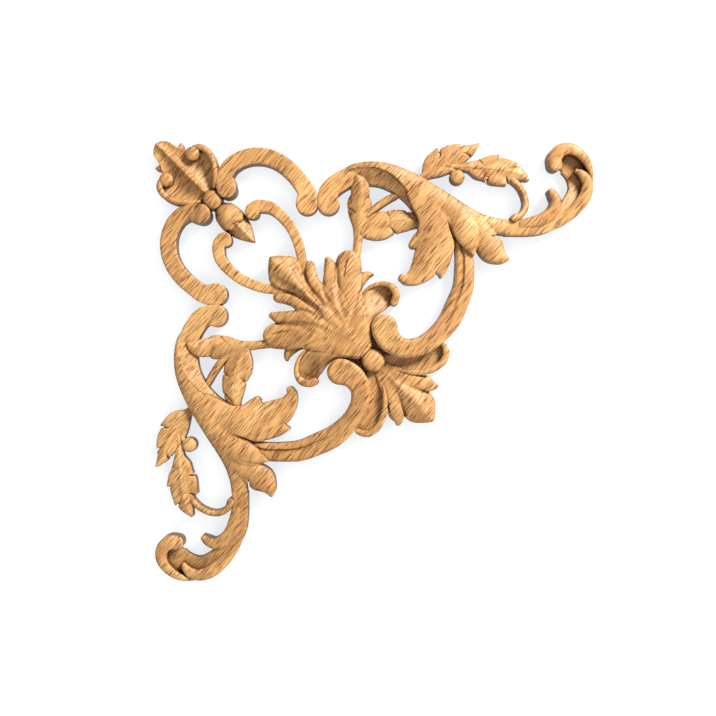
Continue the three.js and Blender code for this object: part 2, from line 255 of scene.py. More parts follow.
def solid(outline, surface):
    """The closed solid under a surface, inside an outline, down to the stock behind the back."""
    inside = outline > 0
    size = len(LINES)
    right, below = np.meshgrid(LINES, LINES)
    node = np.full((size, size), -1)
    node[inside] = np.arange(inside.sum())
    corners = [np.stack([right[inside], below[inside], surface[inside]], axis=-1)]
    count = inside.sum()

    def crossings(first, second):
        nonlocal count
        cut = inside[first] != inside[second]
        share = outline[first][cut] / (outline[first][cut] - outline[second][cut])
        share = np.clip(share, CORNER_SHARE, 1 - CORNER_SHARE)[:, None]
        ends = [np.stack([grid[part][cut] for grid in (right, below, surface)], axis=-1)
                for part in (first, second)]
        corners.append(ends[0] + (ends[1] - ends[0]) * share)
        index = np.full(cut.shape, -1)
        index[cut] = count + np.arange(cut.sum())
        count += cut.sum()
        return index

    everywhere, start, end = slice(None), slice(None, -1), slice(1, None)
    level = crossings((everywhere, start), (everywhere, end))
    upright = crossings((start, everywhere), (end, everywhere))
    points = np.concatenate(corners)
    top = place(points[:, 0], points[:, 1], points[:, 2])
    bottom = place(points[:, 0], points[:, 1], -PLANED_OFF + 0 * points[:, 2])
    number = len(points)
    full = inside[start, start] & inside[start, end] & inside[end, start] & inside[end, end]
    some = (inside[start, start] | inside[start, end] | inside[end, start] | inside[end, end]) & ~full
    rows, columns = np.nonzero(full)
    faces = np.stack([node[rows, columns], node[rows + 1, columns], node[rows + 1, columns + 1],
                      node[rows, columns + 1]], axis=-1).tolist()
    walls = []
    for i, j in zip(*np.nonzero(some)):
        ring = [(node[i, j], True), (upright[i, j], False),
                (node[i + 1, j], True), (level[i + 1, j], False),
                (node[i + 1, j + 1], True), (upright[i, j + 1], False),
                (node[i, j + 1], True), (level[i, j], False)]
        ring = [(int(index), whole) for index, whole in ring if index >= 0]
        faces.append([index for index, _ in ring])
        for (first, first_whole), (second, second_whole) in zip(ring, ring[1:] + ring[:1]):
            if not first_whole and not second_whole:
                walls.append([second, first, first + number, second + number])
    underside = [[index + number for index in reversed(face)] for face in faces]
    return np.concatenate([top, bottom]), faces + walls + underside


def other_side(form):
    """A carved form on the other side of the axis."""
    vertices, faces = form
    swapped = vertices[:, [2, 1, 0]] * [-1, 1, -1]
    return swapped, [face[::-1] for face in faces]


DOME = 0.45


def bead(right, below, radius, rise):
    """A turned bead with a domed top, from the stock behind the back."""
    top = rise * RELIEF
    spring = top - DOME * radius
    sides = max(24, math.ceil(2 * math.pi * radius / MESH_STEP))
    rings = max(6, sides // 4)
    levels = [(radius, -PLANED_OFF)]
    for n in range(rings):
        angle = math.pi / 2 * n / rings
        levels.append((radius * math.cos(angle), spring + (top - spring) * math.sin(angle)))
    turn = 2 * math.pi * np.arange(sides) / sides
    vertices = np.concatenate([
        place(right + ring * np.cos(turn) / GRID, below + ring * np.sin(turn) / GRID, height + 0 * turn)
        for ring, height in levels] + [place(np.array([right]), np.array([below]), np.array([top]))])
    faces = [tuple(range(sides))]
    for n in range(rings):
        for k in range(sides):
            a, b = n * sides + k, n * sides + (k + 1) % sides
            faces.append((b, a, a + sides, b + sides))
    tip, ring = len(vertices) - 1, rings * sides
    faces += [(ring + (k + 1) % sides, ring + k, tip) for k in range(sides)]
    return vertices, faces


# The width and drop of an edge that the carver has rounded off
SOFT = (0.002, 0.0011)


def finial():
    """The trefoil at the corner: body, teeth, rims with their eyes, bead and bud."""
    body = strip(on_axis([[10, 10.8, 0.5], [16.4, 13.2, 0.54], [24.4, 20, 0.58], [33, 29.6, 0.6],
                 [41, 28.6, 0.58], [48, 21, 0.54], [56, 11, 0.48]]), FINIAL, FROM_ROUND)
    tooth = strip([[25, 17, 6, 0.4], [26.4, 9, 4.4, 0.42], [27.3, 1.6, 1, 0.4]], FLAT)
    rim = strip([[40, 8, 3.4, 0.6], [47.5, 6.8, 3.2, 0.64], [55, 11.5, 3.2, 0.66], [60, 20.5, 3.1, 0.66],
                [62, 32, 2.9, 0.64], [61.5, 48, 2.4, 0.54]], ROUNDED)
    rim = carve([rim])
    eye = bead(39.4, 13.4, EYE_RADIUS, 0.66)
    calyx = strip(on_axis([[65.6, 6.4, 0.5], [71, 11.8, 0.63], [78, 13.6, 0.65], [82, 12.6, 0.62]]), ROUNDED)
    lip = strip([[80, 74, 6.4, 0.62], [85, 77, 5.4, 0.59], [89, 79.6, 2.2, 0.52]], CROWN)
    tip = strip(on_axis([[76, 12, 0.5], [84, 12.4, 0.53], [90, 9.6, 0.5], [96, 4.8, 0.44],
                [100.4, 0.8, 0.38]]), STEEP)
    return [carve([body, tooth] + mirrored([tooth])), bead(59.6, 59.6, SMALL_BEAD_RADIUS, 0.72),
            carve([calyx, lip] + mirrored([lip])), carve([tip]),
            rim, other_side(rim), eye, other_side(eye)]


def heart_band():
    """The slim heart between the finial and the acanthus."""
    return [carve([
        strip([[98.4, 71.4, 6.9, 0.53], [99.4, 71.8, 6.6, 0.53]], FLAT, ROUND),
        strip([[97.6, 68.6, 5.4, 0.53], [103.5, 65.4, 6, 0.52], [110.5, 65.2, 6, 0.52],
              [118.5, 67.2, 5.8, 0.52], [127.5, 74, 5.5, 0.52], [136.4, 84.5, 5.3, 0.52],
              [142.8, 97, 5.1, 0.52], [146.8, 110, 4.8, 0.5], [149.8, 127, 4, 0.46],
              [152.6, 137, 4, 0.42]], FLAT, FROM_ROUND)])]


def upper_scroll():
    """The flat scroll above the heart, with a bulb at both ends."""
    return [carve([
        strip([[74, 48.4, 9.7, 0.76], [72.8, 43, 9.4, 0.66], [71.4, 36, 8.4, 0.58], [75.5, 27.3, 8, 0.54],
              [83, 20.6, 8, 0.53], [92.5, 16.4, 8, 0.53], [103, 14.8, 8.1, 0.53], [115, 16.2, 8.1, 0.53],
              [127, 21.4, 8.2, 0.53], [137.5, 29.6, 8.3, 0.54], [146.5, 40, 8.4, 0.55],
              [153.4, 51, 9.4, 0.56], [153.8, 62.8, 11.2, 0.57]], FLAT, ROUND)],
        [groove([[66, 43, 0.9, 0.3], [70, 41, 0.9, 0.4], [75, 38.4, 0.6, 0.2]])])]


def stem():
    """The long scroll, its roll and cove, and the two leaves its stem swells into."""
    end = strip([[175.2, 62.6, 11.3, 0.58], [174.8, 57, 10.3, 0.58], [176.6, 50, 9.8, 0.57],
                [183, 43.6, 9.7, 0.56], [192.6, 38, 9.6, 0.55], [204, 34.4, 8.6, 0.53]], FLAT, FROM_ROUND)
    cove = strip([[196, 36.8, 8.6, 0.55], [213, 34.6, 9.2, 0.66], [228, 36, 9.2, 0.69],
                 [241.6, 41.8, 8.8, 0.71], [252, 50.4, 7.4, 0.7], [260, 61, 5.4, 0.68],
                 [264.6, 71.4, 3.4, 0.65], [266.4, 80, 1.4, 0.62]], LEAN_RIGHT)
    roll = strip([[182, 37.4, 1.2, 0.5, 0], [191, 30.6, 1.8, 0.57, 0], [200, 26, 2.4, 0.63, 0],
                 [213, 24.2, 2.7, 0.69, 0], [226, 25.2, 3.5, 0.72, 0],
                 [238.6, 29, 5, 0.74, 0], [250.6, 35.8, 7.4, 0.74, 0.1], [262.4, 44.8, 10.6, 0.74, 0.5],
                 [276, 56, 13, 0.73, 1], [292, 65.6, 12.6, 0.71, 1], [308, 74, 11, 0.67, 1],
                 [324, 80.4, 9, 0.62, 1], [340, 84.4, 7.9, 0.57, 1], [356, 86.4, 7.8, 0.54, 1],
                 [372, 86.8, 8, 0.53, 1]], LEAN_LEFT, hollow=CROWN)
    leaf = strip([[262, 47, 11, 0.74], [271.6, 60, 14.4, 0.74], [279.6, 76, 15, 0.72],
                 [282.4, 94, 18.4, 0.68], [281, 109, 19, 0.62],
                 [273.4, 123.6, 15, 0.55], [264, 134.2, 10, 0.49], [254.5, 138.6, 5.8, 0.49],
                 [249.4, 137, 3.8, 0.54]], GENTLE, TO_ROUND)
    elbow = strip([[276, 92, 9, 0.62], [266, 98.5, 6.8, 0.58], [260.4, 103.2, 4.4, 0.54]], CROWN, TO_ROUND)
    tooth = strip([[286, 98, 14.4, 0.62], [287.4, 113, 12.8, 0.58], [288.6, 125.5, 7.8, 0.52],
                  [288.4, 137, 0.9, 0.46]], CROWN)
    second = strip([[303, 70, 9, 0.68], [310.6, 86.4, 13.2, 0.77], [315.6, 99, 10.6, 0.74],
                   [318.8, 108.4, 5.6, 0.64], [320.4, 115.4, 0.8, 0.58]], CROWN)
    third = strip([[322, 78, 9.5, 0.66], [330, 94, 10.8, 0.65], [339.6, 108.6, 13, 0.6],
                  [348.6, 116, 7.6, 0.52], [357, 118.4, 0.9, 0.46]], CROWN)
    fourth = strip([[326, 84, 8, 0.6], [333, 91, 5.4, 0.6], [337.4, 96.6, 1.2, 0.54]], CROWN)
    return [carve([end, cove, roll, leaf, elbow, tooth, second, third, fourth], [
        groove([[293.6, 78, 0.8, 0.4], [297.4, 89, 1.3, 1.4], [302.6, 100.4, 1.3, 1.2],
               [309.6, 109, 1, 0.6]]),
        groove([[320, 88, 1, 0.2], [323, 100, 2.4, 0.4], [323, 111, 1.2, 0.7]]),
        groove([[272, 103, 1.4, 0.1], [266, 107, 1.8, 0.5], [261, 110, 1.4, 0.7]])],
        [notch([[322.6, 118, 2, 1], [322.8, 110.6, 0.5, 1]]),
         notch([[283.6, 139, 2.2, 1], [283.2, 131.4, 0.5, 1]]),
         notch([[257, 111.4, 1.5, 1], [263, 109.4, 0.5, 1]]),
         notch([[348, 95, 1.6, 1], [338.4, 95.6, 0.5, 1]])])]


def rib():
    """The rib that leaves the stem below its leaves and ends in a bold scroll beside the bead."""
    return [carve([
        strip([[231.2, 187.2, 13, 0.93], [232, 191.4, 12.8, 0.93], [236.6, 200, 11.6, 0.92],
              [246.5, 206.7, 10.2, 0.9], [258, 207.4, 9.3, 0.84], [270.5, 204, 9.4, 0.76],
              [283.5, 195, 9.6, 0.68], [296, 181, 10.6, 0.6], [304, 164.5, 10.8, 0.56],
              [310.6, 147, 10.2, 0.54], [312, 130, 9.6, 0.52], [311.6, 113, 9, 0.48],
              [307, 97, 7, 0.44]], FLAT, FROM_ROUND)], [
        groove([[286, 189, 0.6, 0.2], [297, 175, 1.6, 0.7], [303.4, 160.5, 2, 1], [308.4, 147, 2.1, 1.1],
               [310.4, 130, 2.1, 1.1], [310, 112, 2, 1], [306, 97, 1.4, 0.8]])], arris=SOFT)]


def end_curl():
    """The curl at the leg's end: stem, hollow, rolled rim, tongue and hooked leaf."""
    floor = carve([
        strip([[352, 86.8, 7.8, 0.53], [362, 86.8, 7.8, 0.53], [376, 86.4, 8.2, 0.53],
              [388.6, 84.4, 8.6, 0.53], [399, 79.6, 9, 0.53], [409, 73, 9.8, 0.51],
              [417.6, 66, 10.2, 0.47],
              [424.4, 58, 10.8, 0.4], [428.6, 48.6, 11.2, 0.32], [428.8, 38, 12, 0.25],
              [424.4, 27.6, 12.4, 0.22], [416.6, 20.6, 11.4, 0.22], [411, 18.6, 8, 0.22]], FLAT, TO_ROUND)])
    rim = carve([
        strip([[440, 41, 0.8, 0.44], [438.4, 31, 2.6, 0.52], [433.6, 20.6, 4, 0.58],
              [425.4, 11.8, 4.8, 0.62], [416.6, 8.2, 5.6, 0.64], [407.6, 9.8, 6.3, 0.65],
              [402, 16.4, 7, 0.65], [402.2, 23.4, 7, 0.62]], CROWN, TO_ROUND)])
    tongue = carve([
        strip([[396, 84.6, 4, 0.5], [406, 80.6, 5.4, 0.54], [415.6, 74.4, 6, 0.57], [424, 67, 6.2, 0.59],
              [430.4, 59, 6.2, 0.61], [434, 50.6, 5.8, 0.61], [434.6, 43, 5.4, 0.6],
              [432, 36.6, 5, 0.58], [427.6, 32, 3.6, 0.55], [424.6, 30.6, 2.6, 0.53]], CROWN, TO_ROUND)])
    hook = carve([
        strip([[366, 83.6, 4.6, 0.55], [378, 82, 5.8, 0.59], [388.6, 79, 6.4, 0.62], [396.8, 74, 6.5, 0.63],
              [402, 67.6, 6, 0.63], [403.4, 60.6, 5, 0.61], [400.6, 54, 4.4, 0.58],
              [398, 50.6, 3, 0.56]], CROWN, TO_ROUND)])
    return [floor, rim, tongue, hook]


def acanthus():
    """The acanthus that spreads from the bead towards the corner."""
    tip = strip(on_axis([[116.8, 1.4, 0.54], [118.4, 4.4, 0.6], [121.4, 9, 0.68], [125, 13.8, 0.73],
                [128.6, 17.4, 0.76], [132, 18, 0.77], [136.6, 16, 0.76], [142, 12.6, 0.74],
                [152, 10.5, 0.76], [165, 12, 0.81], [178, 13, 0.85]]), ROOF)
    body = strip(on_axis([[165, 11, 0.76], [185, 15, 0.86], [200, 15, 0.88], [207, 12.4, 0.85],
                 [213, 7.6, 0.78]]), CROWN, FROM_ROUND)
    lobes = [
        strip([[156.6, 125, 5.2, 0.52], [157.2, 132, 5.9, 0.57], [160, 141, 6.6, 0.63],
              [166, 152, 8.6, 0.7], [176, 167, 10, 0.79], [190, 184, 10, 0.86]], GENTLE, FROM_ROUND),
        strip([[174.8, 119, 3.6, 0.46], [176.8, 125, 6.2, 0.53], [177.4, 134, 7, 0.6],
              [177.4, 146, 7.6, 0.67], [182, 160, 9.6, 0.77], [190, 178, 10, 0.86]], GENTLE, FROM_ROUND),
        strip([[195.6, 122.4, 12.8, 0.54], [196.4, 135, 12.6, 0.62], [197, 150, 11.6, 0.71],
              [200, 169, 11, 0.82], [206, 189, 9, 0.87], [210.4, 203, 6.8, 0.83]], GENTLE, FROM_ROUND),
        strip([[221, 133.4, 0.8, 0.42], [215, 133.8, 3.6, 0.46], [208.6, 138, 5.4, 0.5],
              [203.4, 146, 6, 0.57], [202, 158, 6, 0.68], [204.4, 172, 6, 0.8]], GENTLE),
        strip([[212.6, 207, 6, 0.8, 0], [209.6, 190, 8.2, 0.85, 0], [211.6, 176, 9.6, 0.8, 0],
              [217.2, 165, 12.4, 0.71, 0.3], [225.6, 157.2, 13.4, 0.6, 0.8],
              [235.2, 153, 11.4, 0.48, 1]], GENTLE, TO_ROUND)]
    creases = [
        groove([[148.6, 124, 0.9, 0.6], [150.6, 131.5, 1.5, 1], [153.5, 140, 2, 0.9],
               [158, 149, 2.8, 0.7], [165, 160, 3.6, 0.5], [175, 173, 4, 0.1]]),
        groove([[168.8, 147, 1.8, 0.7], [171.5, 154, 3.2, 0.7], [176, 163, 4.4, 0.6],
               [184, 176, 5, 0.4], [192, 188, 5, 0.1]]),
        groove([[182.6, 120, 1.2, 0.6], [182.4, 134.5, 2.2, 0.7], [182.6, 146, 3.2, 0.7],
               [185.6, 160, 4.2, 0.8], [190, 174, 4.6, 0.2]]),
        groove([[196, 114, 1, 0.3], [193, 122, 1.6, 0.9], [191, 132, 1.6, 0.8], [190, 140, 1.4, 0.1]]),
        groove([[205.8, 152, 1.8, 0.9], [202.8, 160, 3.4, 0.8], [200, 172, 4.4, 0.6], [199, 184, 4.4, 0.1]])]
    dip = groove([[120, 138, 5, 0.3], [133, 145.6, 6.4, 1.3], [146, 154.6, 6, 1.2], [160, 167, 4.6, 1],
                 [172, 180, 3, 0.2]])
    rim = carve([
        strip([[209, 153, 1, 0.62], [215.4, 147.6, 1.6, 0.66], [222.6, 144.4, 2, 0.69],
              [230, 143.4, 2.4, 0.71], [236.6, 145.2, 2.9, 0.72], [241.2, 149.8, 3.6, 0.72],
              [243, 156, 3.8, 0.7],
              [241.2, 161.6, 3.9, 0.66]], CROWN, TO_ROUND)])
    ground = strip([[222, 222, 24, 0.36], [223, 223, 24, 0.36]], FLAT, ROUND)
    crevice = strip([[217.6, 206, 5, 0.4], [217.4, 192, 4, 0.4], [218.6, 181, 3, 0.4],
                    [221, 174.6, 1, 0.38]], FLAT)
    return [carve([tip, body] + lobes + mirrored(lobes), creases + [cut.T for cut in creases] + [dip, dip.T],
                  arris=SOFT, blend=0.0007),
            carve([ground, crevice] + mirrored([crevice])),
            bead(HUB, HUB, BEAD_RADIUS, 0.78), rim, other_side(rim)]


def palmette():
    """The palmette that spreads from the bead away from the corner."""
    middle = strip(on_axis([[226, 6, 0.46], [240, 9, 0.55], [252, 13.4, 0.63], [262, 17, 0.64],
                   [270, 16.4, 0.58], [276, 9.6, 0.54], [280.6, 1.6, 0.48]]), ROOF)
    lobes = [
        strip([[230, 225, 4, 0.46], [246, 234.4, 7.4, 0.53], [262, 240.6, 9.2, 0.54],
              [274, 244, 8.2, 0.5], [281, 245.4, 4.4, 0.46], [285.4, 244.6, 1.4, 0.44]], GENTLE),
        strip([[230, 219, 6, 0.44, 0.4], [245, 222, 9, 0.48, 0.8], [261, 222.6, 11.8, 0.5, 1],
              [275, 219.4, 13.8, 0.5, 1], [285, 213.4, 12.2, 0.48, 1]], GENTLE, TO_ROUND)]
    creases = [
        groove([[242, 229.4, 1, 0.2], [252, 231.6, 1.6, 0.8], [261, 233.6, 1.6, 1], [272, 236.4, 1.4, 1]]),
        groove([[252, 244.4, 1, 0.2], [264, 248.6, 2, 0.7], [275, 252.4, 1.6, 1.3]])]
    rim = carve([
        strip([[242, 229.4, 0.9, 0.5], [250, 231, 1.6, 0.56], [259, 232, 2.4, 0.59], [268, 231.8, 2.8, 0.6],
              [277.6, 229.6, 3, 0.6], [286, 225.2, 3.2, 0.6], [291.8, 218.4, 3.4, 0.6],
              [293.2, 211, 3.2, 0.59], [291, 205, 3, 0.56]], CROWN, TO_ROUND)])
    return [carve([middle] + lobes + mirrored(lobes), creases + [cut.T for cut in creases], blend=0.0005),
            rim, other_side(rim)]


def inner_sprig():
    """The two leaves and the branch inside the long scroll."""
    upright = carve([
        strip([[203, 116, 4.4, 0.46], [204.8, 101, 4.4, 0.42], [206, 86, 6.4, 0.44], [206.4, 73, 11, 0.48],
              [206.6, 62.4, 12.4, 0.5]], ROOF, TO_ROUND),
        strip([[206.4, 72, 8, 0.48], [207, 58, 9, 0.54], [207.2, 48, 9.4, 0.6], [206, 40.4, 7, 0.62],
              [203.6, 34.4, 1.4, 0.6]], ROOF)], [
        groove([[194, 66.6, 0.9, 0.8], [199, 69, 1.1, 0.6], [203.6, 74, 0.8, 0.2]]),
        groove([[218, 55.6, 0.9, 0.8], [213, 57.4, 1.2, 0.6], [209, 61, 0.8, 0.2]]),
        groove([[206.4, 46, 0.8, 0.1], [206.8, 60, 0.9, 0.25], [205.6, 84, 0.9, 0.2]])],
        [notch([[190.6, 65.4, 1.7, 1], [196.4, 67.4, 0.4, 1]]),
         notch([[221.6, 54, 1.7, 1], [215.4, 56.4, 0.4, 1]])])
    level = carve([
        strip([[207, 92, 5, 0.43], [220, 84.4, 12, 0.47], [232, 82, 12.4, 0.48], [246, 79.6, 11.6, 0.47],
              [258, 80, 8.6, 0.47], [268, 83, 3.4, 0.44]], ROOF),
        strip([[212, 92, 5, 0.42], [222, 91, 7.8, 0.44], [233, 91, 6.4, 0.43], [240.4, 91.6, 1.6, 0.38]],
              GENTLE)], [
        groove([[216, 88, 0.8, 0.1], [228, 83.4, 0.9, 0.3], [246, 80.6, 0.9, 0.3], [260, 82, 0.8, 0.1]]),
        groove([[233.4, 71, 0.9, 0.9], [236, 75, 1.1, 0.6], [235, 79.6, 0.8, 0.2]]),
        groove([[254, 71, 0.9, 0.7], [258, 74.6, 1.2, 0.6], [262, 79, 0.8, 0.2]]),
        groove([[240.6, 90, 0.9, 1], [238, 87, 1.1, 0.6], [234, 85, 0.8, 0.2]])],
        [notch([[232.8, 68, 1.4, 1], [233.8, 71, 0.4, 1]]),
         notch([[253, 67.6, 1.5, 1], [255.4, 71, 0.4, 1]]),
         notch([[243.4, 93, 1.6, 1], [240.8, 90.4, 0.4, 1]])])
    branch = carve([
        strip([[213.6, 75.6, 1.8, 0.42], [221.4, 67.4, 3.4, 0.45], [233, 59.4, 3.5, 0.46],
              [244.6, 53, 3.2, 0.42]], ROUNDED)])
    return [upright, level, branch]


def top_sprig():
    """The two leaves, the ball and the tendril along the outer edge."""
    first = carve([
        strip([[266, 41, 3.4, 0.5], [272.4, 34, 4.4, 0.46], [282, 26, 8.6, 0.48], [294, 17.6, 12, 0.51],
              [306, 12.4, 10.4, 0.51], [317, 8.8, 5.8, 0.48], [327, 2, 0.9, 0.42]], ROOF),
        strip([[273, 33, 4, 0.44], [278, 23, 7.4, 0.47], [282.6, 14.4, 5.8, 0.46], [285.4, 6.6, 1.2, 0.42]],
              GENTLE),
        strip([[290, 21, 8, 0.47], [298, 11.8, 9, 0.48], [309, 3.2, 1, 0.44]], GENTLE),
        strip([[276, 32, 4.6, 0.44], [288, 29.4, 4.8, 0.45], [298, 27.6, 3, 0.43]], CROWN, TO_ROUND)], [
        groove([[286.4, 9.6, 0.9, 0.9], [287.4, 14, 1.1, 0.6], [285.6, 19, 0.8, 0.2]]),
        groove([[309, 5, 0.9, 0.9], [306, 8.6, 1.1, 0.6], [302, 12, 0.8, 0.2]]),
        groove([[317, 14, 0.9, 1], [313, 12.6, 1.2, 0.7], [308, 12.6, 0.8, 0.2]])],
        [notch([[287, 4.6, 1.7, 1], [286.8, 10.6, 0.4, 1]]),
         notch([[311, 1.6, 1.4, 1], [307.6, 6, 0.4, 1]]),
         notch([[319, 16, 1.5, 1], [316.4, 13.8, 0.4, 1]])])
    stalk = carve([
        strip([[292, 27, 2.6, 0.42], [299, 28.6, 2.8, 0.44], [304, 32.4, 2.6, 0.42]], ROUNDED)])
    second = carve([
        strip([[294, 23.8, 2.6, 0.46], [306, 25.4, 3, 0.43], [317, 25.4, 5.2, 0.45], [329, 26.6, 9.6, 0.48],
              [343, 28.4, 13.6, 0.51], [356, 29.6, 11.6, 0.5], [367, 32.8, 7.2, 0.46],
              [377, 38.6, 0.9, 0.42]], ROOF),
        strip([[334, 30, 9, 0.47], [344, 35.6, 8.4, 0.47], [354.6, 43, 1.4, 0.42]], GENTLE),
        strip([[318, 27, 4, 0.44], [326, 31.6, 5.6, 0.45], [333.6, 38, 1.4, 0.42]], GENTLE),
        strip([[332, 25, 8, 0.47], [340, 19.8, 6.6, 0.47], [347, 13.8, 1.2, 0.44]], GENTLE),
        strip([[350, 28, 9, 0.47], [358.6, 24.4, 6.2, 0.46], [365.6, 22, 1.2, 0.43]], GENTLE)], [
        groove([[306, 26.6, 0.8, 0.2], [322, 28, 0.9, 0.3], [344, 30, 0.9, 0.25], [366, 34.4, 0.8, 0.1]]),
        groove([[346.6, 16.4, 0.9, 0.9], [344.6, 20, 1.1, 0.6], [340, 24, 0.8, 0.2]]),
        groove([[364, 25, 0.9, 0.9], [360, 27, 1.1, 0.6], [354, 29, 0.8, 0.2]]),
        groove([[335, 36.4, 0.9, 1], [337, 33.6, 1.2, 0.6], [341, 31, 0.8, 0.2]]),
        groove([[355, 39.4, 0.9, 1], [353.4, 36, 1.2, 0.6], [355, 32.6, 0.8, 0.2]])],
        [notch([[348.4, 13.6, 1.4, 1], [346.8, 16.8, 0.4, 1]]),
         notch([[367, 23, 1.4, 1], [363.6, 24.6, 0.4, 1]]),
         notch([[334.6, 40, 1.4, 1], [335.4, 37, 0.4, 1]]),
         notch([[356, 42.6, 1.4, 1], [354.8, 39.8, 0.4, 1]])])
    tendril = carve([
        strip([[359, 37, 3.2, 0.44], [367.6, 45.4, 3, 0.45], [373, 57, 3, 0.47], [372.8, 67, 3, 0.51],
              [367.6, 74.6, 3.2, 0.57], [361.8, 77.6, 4, 0.64]], ROUNDED, TO_ROUND)])
    return [first, stalk, second, tendril, bead(304.6, 35.6, BUD_RADIUS, 0.5)]


def carved(name, form):
    """An object from vertices and faces."""
    vertices, faces = form
    mesh = bpy.data.meshes.new(name)
    mesh.from_pydata(vertices.tolist(), [], faces)
    mesh.validate()
    piece = bpy.data.objects.new(name, mesh)
    bpy.context.scene.collection.objects.link(piece)
    return piece


def combine(first, second, operation):
    """Joins the second object to the first, or cuts it away, and removes the second."""
    step = first.modifiers.new("combine", "BOOLEAN")
    step.operation = operation
    step.solver = "MANIFOLD"
    step.object = second
    graph = bpy.context.evaluated_depsgraph_get()
    mesh = bpy.data.meshes.new_from_object(first.evaluated_get(graph))
    first.modifiers.clear()
    first.data = mesh
    bpy.data.objects.remove(second)
    return first


def union(pieces):
    """All of the pieces as one, joined in pairs."""
    while len(pieces) > 1:
        pairs = [pieces[k:k + 2] for k in range(0, len(pieces), 2)]
        pieces = [combine(*pair, "UNION") if len(pair) == 2 else pair[0] for pair in pairs]
    return pieces[0]


def build_onlay():
    """The whole carving, as one mesh with a planed back."""
    forms = finial() + acanthus() + palmette()
    for section in (heart_band, upper_scroll, stem, rib, end_curl, inner_sprig, top_sprig):
        for form in section():
            forms += [form, other_side(form)]
    onlay = union([carved(f"carving_{n}", form) for n, form in enumerate(forms)])
    bpy.ops.mesh.primitive_cube_add(size=1, location=(0, PLANED_OFF, 0))
    stock = bpy.context.object
    stock.scale = (2 * LEG, 2 * PLANED_OFF, 2 * LEG)
    bpy.context.view_layer.update()
    combine(onlay, stock, "DIFFERENCE")
    onlay.name = "carved_onlay"
    mesh = onlay.data
    mesh.polygons.foreach_set("use_smooth", [True] * len(mesh.polygons))
    mesh.set_sharp_from_angle(angle=CREASE_ANGLE)
    return onlay


RECESS_REACH = 0.004


def oak_material():
    """Golden oak: rings and open pores that run with the grain, from lower left to upper right."""
    material = bpy.data.materials.new("golden_oak")
    material.use_nodes = True
    tree = material.node_tree
    nodes, links = tree.nodes, tree.links
    shader = nodes["Principled BSDF"]
    shader.inputs["Roughness"].default_value = 0.5
    shader.inputs["Specular IOR Level"].default_value = 0.35

    where = nodes.new("ShaderNodeTexCoord")
    turn = nodes.new("ShaderNodeVectorRotate")
    turn.rotation_type = "Y_AXIS"
    turn.inputs["Angle"].default_value = math.radians(50)
    links.new(where.outputs["Object"], turn.inputs["Vector"])

    def scaled(x, y, z):
        mapping = nodes.new("ShaderNodeMapping")
        mapping.inputs["Scale"].default_value = (x, y, z)
        links.new(turn.outputs["Vector"], mapping.inputs["Vector"])
        return mapping.outputs["Vector"]

    def noise(vector, scale, detail, roughness):
        texture = nodes.new("ShaderNodeTexNoise")
        texture.inputs["Scale"].default_value = scale
        texture.inputs["Detail"].default_value = detail
        texture.inputs["Roughness"].default_value = roughness
        links.new(vector, texture.inputs["Vector"])
        return texture.outputs["Fac"]

    def ramp(value, stops):
        node = nodes.new("ShaderNodeValToRGB")
        while len(node.color_ramp.elements) < len(stops):
            node.color_ramp.elements.new(0.5)
        for element, (position, colour) in zip(node.color_ramp.elements, stops):
            element.position = position
            element.color = (*colour, 1)
        links.new(value, node.inputs["Fac"])
        return node.outputs["Color"]

    def mix(kind, factor, a, b):
        node = nodes.new("ShaderNodeMix")
        node.data_type = "RGBA"
        node.blend_type = kind
        # The sockets that a Mix node uses for colours
        for socket, value in ((0, factor), (6, a), (7, b)):
            if isinstance(value, bpy.types.NodeSocket):
                links.new(value, node.inputs[socket])
            else:
                node.inputs[socket].default_value = value
        return node.outputs[2]

    broad = ramp(noise(scaled(1, 5, 5), 14, 3, 0.5),
                 [(0.3, (0.42, 0.205, 0.070)), (0.52, (0.53, 0.283, 0.100)), (0.72, (0.64, 0.38, 0.150))])
    rings = ramp(noise(scaled(0.05, 0.1, 1), 800, 1, 0.5),
                 [(0.34, (0.92, 0.90, 0.88)), (0.5, (1.0, 1.0, 1.0)), (0.66, (1.05, 1.05, 1.04))])
    pores = ramp(noise(scaled(0.05, 0.1, 1), 3100, 1, 0.5),
                 [(0.35, (0.28, 0.19, 0.13)), (0.46, (0.93, 0.89, 0.85)), (0.64, (1.20, 1.19, 1.16))])
    colour = mix("MULTIPLY", 1.0, mix("MULTIPLY", 1.0, broad, rings), pores)
    # Painted shade: an ambient occlusion node darkens the wood's colour where the carving is deep
    recess = nodes.new("ShaderNodeAmbientOcclusion")
    recess.samples = 8
    recess.only_local = True
    recess.inputs["Distance"].default_value = RECESS_REACH
    painted_recess_shade = ramp(recess.outputs["AO"],
                  [(0.2, (0.34, 0.26, 0.20)), (0.6, (0.90, 0.88, 0.86)), (0.85, (1, 1, 1))])
    colour = mix("MULTIPLY", 1.0, colour, painted_recess_shade)
    # Painted shade: faces that turn away from the front, the sides and steep walls, are darkened in the
    # wood's colour
    facing = nodes.new("ShaderNodeSeparateXYZ")
    links.new(where.outputs["Normal"], facing.inputs["Vector"])
    flat = nodes.new("ShaderNodeMath")
    flat.operation = "ABSOLUTE"
    links.new(facing.outputs["Y"], flat.inputs[0])
    sides = ramp(flat.outputs["Value"],
                 [(0.05, (0.26, 0.21, 0.18)), (0.5, (0.66, 0.61, 0.57)), (0.86, (1, 1, 1))])
    colour = mix("MULTIPLY", 1.0, colour, sides)
    links.new(colour, shader.inputs["Base Color"])

    bump = nodes.new("ShaderNodeBump")
    bump.inputs["Strength"].default_value = 0.35
    bump.inputs["Distance"].default_value = 0.0002
    links.new(pores, bump.inputs["Height"])
    links.new(bump.outputs["Normal"], shader.inputs["Normal"])
    return material


